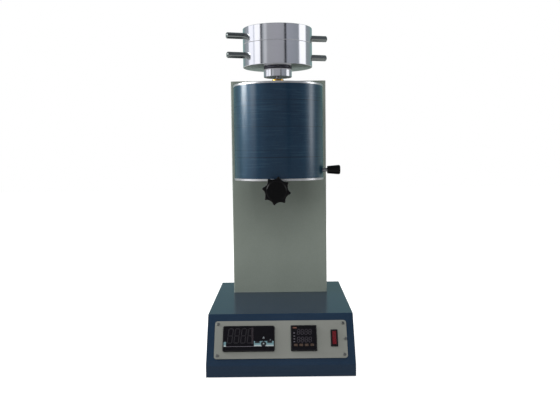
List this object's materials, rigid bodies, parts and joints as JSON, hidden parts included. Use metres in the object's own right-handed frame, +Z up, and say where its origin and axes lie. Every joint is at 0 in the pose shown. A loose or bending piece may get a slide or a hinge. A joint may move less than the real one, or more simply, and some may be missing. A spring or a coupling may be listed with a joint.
{
  "type": "melt flow index tester",
  "caption": "Bench melt flow index tester: round blue furnace on a grey column, disc weights on a piston, strand cutter knob and a sloped control panel on a blue base.",
  "frame": {"origin": "on the table, under the middle of the base housing", "axes": "+Z up along the column, -Y towards the operator, +X to the operator's right"},
  "size_m": [0.2776, 0.358, 0.6516],
  "materials": {
    "blue_enamel": "semi-gloss baked enamel, dark teal blue",
    "jacket_blue": "glossy blue coating over sheet, fine scuff rings",
    "grey_enamel": "semi-gloss baked enamel, light putty grey",
    "panel_grey": "satin painted aluminium",
    "zinc_sheet": "zinc plated sheet",
    "bracket_steel": "zinc plated steel",
    "screw_steel": "nickel plated screws",
    "polished_plate": "polished stainless steel",
    "tool_steel": "ground hardened steel",
    "carbide": "lapped carbide",
    "block_bronze": "turned bronze",
    "heater_sheath": "stainless heater sheath",
    "insulation": "white ceramic fibre",
    "brass": "turned brass",
    "pin_brass": "plated brass pins",
    "chrome": "mirror chrome plate",
    "dark_chrome": "dark chrome plate",
    "heatsink": "extruded aluminium",
    "black_moulding": "fine-textured black moulding",
    "black_knob": "moulded black phenolic",
    "fascia_black": "smoked front sheet",
    "key_black": "black key",
    "key_amber": "brown-orange key",
    "rocker_red": "translucent red rocker",
    "relay_plastic": "moulded relay case",
    "terminal_plastic": "moulded terminal strip",
    "foot_rubber": "moulded rubber"
  },
  "bodies": {
    "frame": {"base_housing": "blue_enamel", "base_floor_plate": "zinc_sheet", "base_rear_panel": "zinc_sheet", "base_screws": "screw_steel", "rubber_feet": "foot_rubber", "mains_inlet": "black_moulding", "mains_inlet_pins": "pin_brass", "mains_fuse_holder": "black_moulding", "relay_heatsink": "heatsink", "solid_state_relay": "relay_plastic", "terminal_block": "terminal_plastic", "front_panel": "panel_grey", "front_panel_screws": "screw_steel", "timer_case": "black_moulding", "timer_fascia": "fascia_black", "controller_case": "black_moulding", "controller_fascia": "fascia_black", "power_switch_body": "black_moulding", "column_shell": "grey_enamel", "column_rear_cover": "grey_enamel", "column_rear_screws": "screw_steel", "column_backing_plate": "bracket_steel", "frame_bolts": "screw_steel", "furnace_bracket_lower": "bracket_steel", "furnace_bracket_upper": "bracket_steel", "furnace_bottom_plate": "polished_plate", "furnace_top_plate": "polished_plate", "furnace_plate_screws": "screw_steel", "furnace_jacket": "jacket_blue", "furnace_insulation": "insulation", "furnace_spacer_rods": "bracket_steel", "heating_block": "block_bronze", "band_heaters": "heater_sheath", "temperature_probe": "heater_sheath", "wire_conduit": "bracket_steel", "slide_guide": "tool_steel", "barrel": "tool_steel", "die": "carbide", "cutter_bearing": "tool_steel"},
    "guide_bush": {"guide_bush": "brass"},
    "piston": {"piston": "tool_steel", "weight_tray": "chrome"},
    "lower_weight": {"lower_weight": "chrome", "lower_weight_handles": "dark_chrome"},
    "upper_weight": {"upper_weight": "chrome", "upper_weight_handles": "dark_chrome"},
    "die_slide": {"die_slide": "tool_steel", "slide_grip": "black_knob"},
    "cutter": {"cutter_shaft": "tool_steel", "cutter_blade": "tool_steel", "cutter_knob": "black_knob"},
    "power_rocker": {"power_switch_rocker": "rocker_red"},
    "timer_key_left": {"timer_key_left": "key_black"},
    "timer_key_middle": {"timer_key_middle": "key_black"},
    "timer_key_right": {"timer_key_right": "key_black"},
    "controller_key_1": {"controller_key_1": "key_amber"},
    "controller_key_2": {"controller_key_2": "key_amber"},
    "controller_key_3": {"controller_key_3": "key_amber"},
    "controller_key_4": {"controller_key_4": "key_amber"}
  },
  "joints": [
    {"name": "bush_lift", "type": "slide", "parent": "frame", "child": "guide_bush", "axis": [0, 0, 1], "range_m": [0, 0.19]},
    {"name": "piston_travel", "type": "slide", "parent": "guide_bush", "child": "piston", "axis": [0, 0, 1], "range_m": [0, 0.135]},
    {"name": "lower_weight_lift", "type": "slide", "parent": "piston", "child": "lower_weight", "axis": [0, 0, 1], "range_m": [0, 0.12]},
    {"name": "upper_weight_lift", "type": "slide", "parent": "lower_weight", "child": "upper_weight", "axis": [0, 0, 1], "range_m": [0, 0.12]},
    {"name": "die_slide_pull", "type": "slide", "parent": "frame", "child": "die_slide", "axis": [1, 0, 0], "range_m": [0, 0.022]},
    {"name": "cutter_turn", "type": "hinge", "parent": "frame", "child": "cutter", "pos_m": [-0.0045, -0.08, 0.34], "axis": [0, 1, 0], "continuous": true},
    {"name": "rocker_tilt", "type": "hinge", "parent": "frame", "child": "power_rocker", "pos_m": [0.099, -0.15457, 0.06686], "axis": [-1, 0, 0], "range_deg": [0, 12]},
    {"name": "timer_key_left_press", "type": "slide", "parent": "frame", "child": "timer_key_left", "axis": [0, 0.8397, -0.5431], "range_m": [0, 0.0008], "stiffness_N_per_m": 300},
    {"name": "timer_key_middle_press", "type": "slide", "parent": "frame", "child": "timer_key_middle", "axis": [0, 0.8397, -0.5431], "range_m": [0, 0.0008], "stiffness_N_per_m": 300},
    {"name": "timer_key_right_press", "type": "slide", "parent": "frame", "child": "timer_key_right", "axis": [0, 0.8397, -0.5431], "range_m": [0, 0.0008], "stiffness_N_per_m": 300},
    {"name": "controller_key_1_press", "type": "slide", "parent": "frame", "child": "controller_key_1", "axis": [0, 0.8397, -0.5431], "range_m": [0, 0.0008], "stiffness_N_per_m": 300},
    {"name": "controller_key_2_press", "type": "slide", "parent": "frame", "child": "controller_key_2", "axis": [0, 0.8397, -0.5431], "range_m": [0, 0.0008], "stiffness_N_per_m": 300},
    {"name": "controller_key_3_press", "type": "slide", "parent": "frame", "child": "controller_key_3", "axis": [0, 0.8397, -0.5431], "range_m": [0, 0.0008], "stiffness_N_per_m": 300},
    {"name": "controller_key_4_press", "type": "slide", "parent": "frame", "child": "controller_key_4", "axis": [0, 0.8397, -0.5431], "range_m": [0, 0.0008], "stiffness_N_per_m": 300}
  ]
}
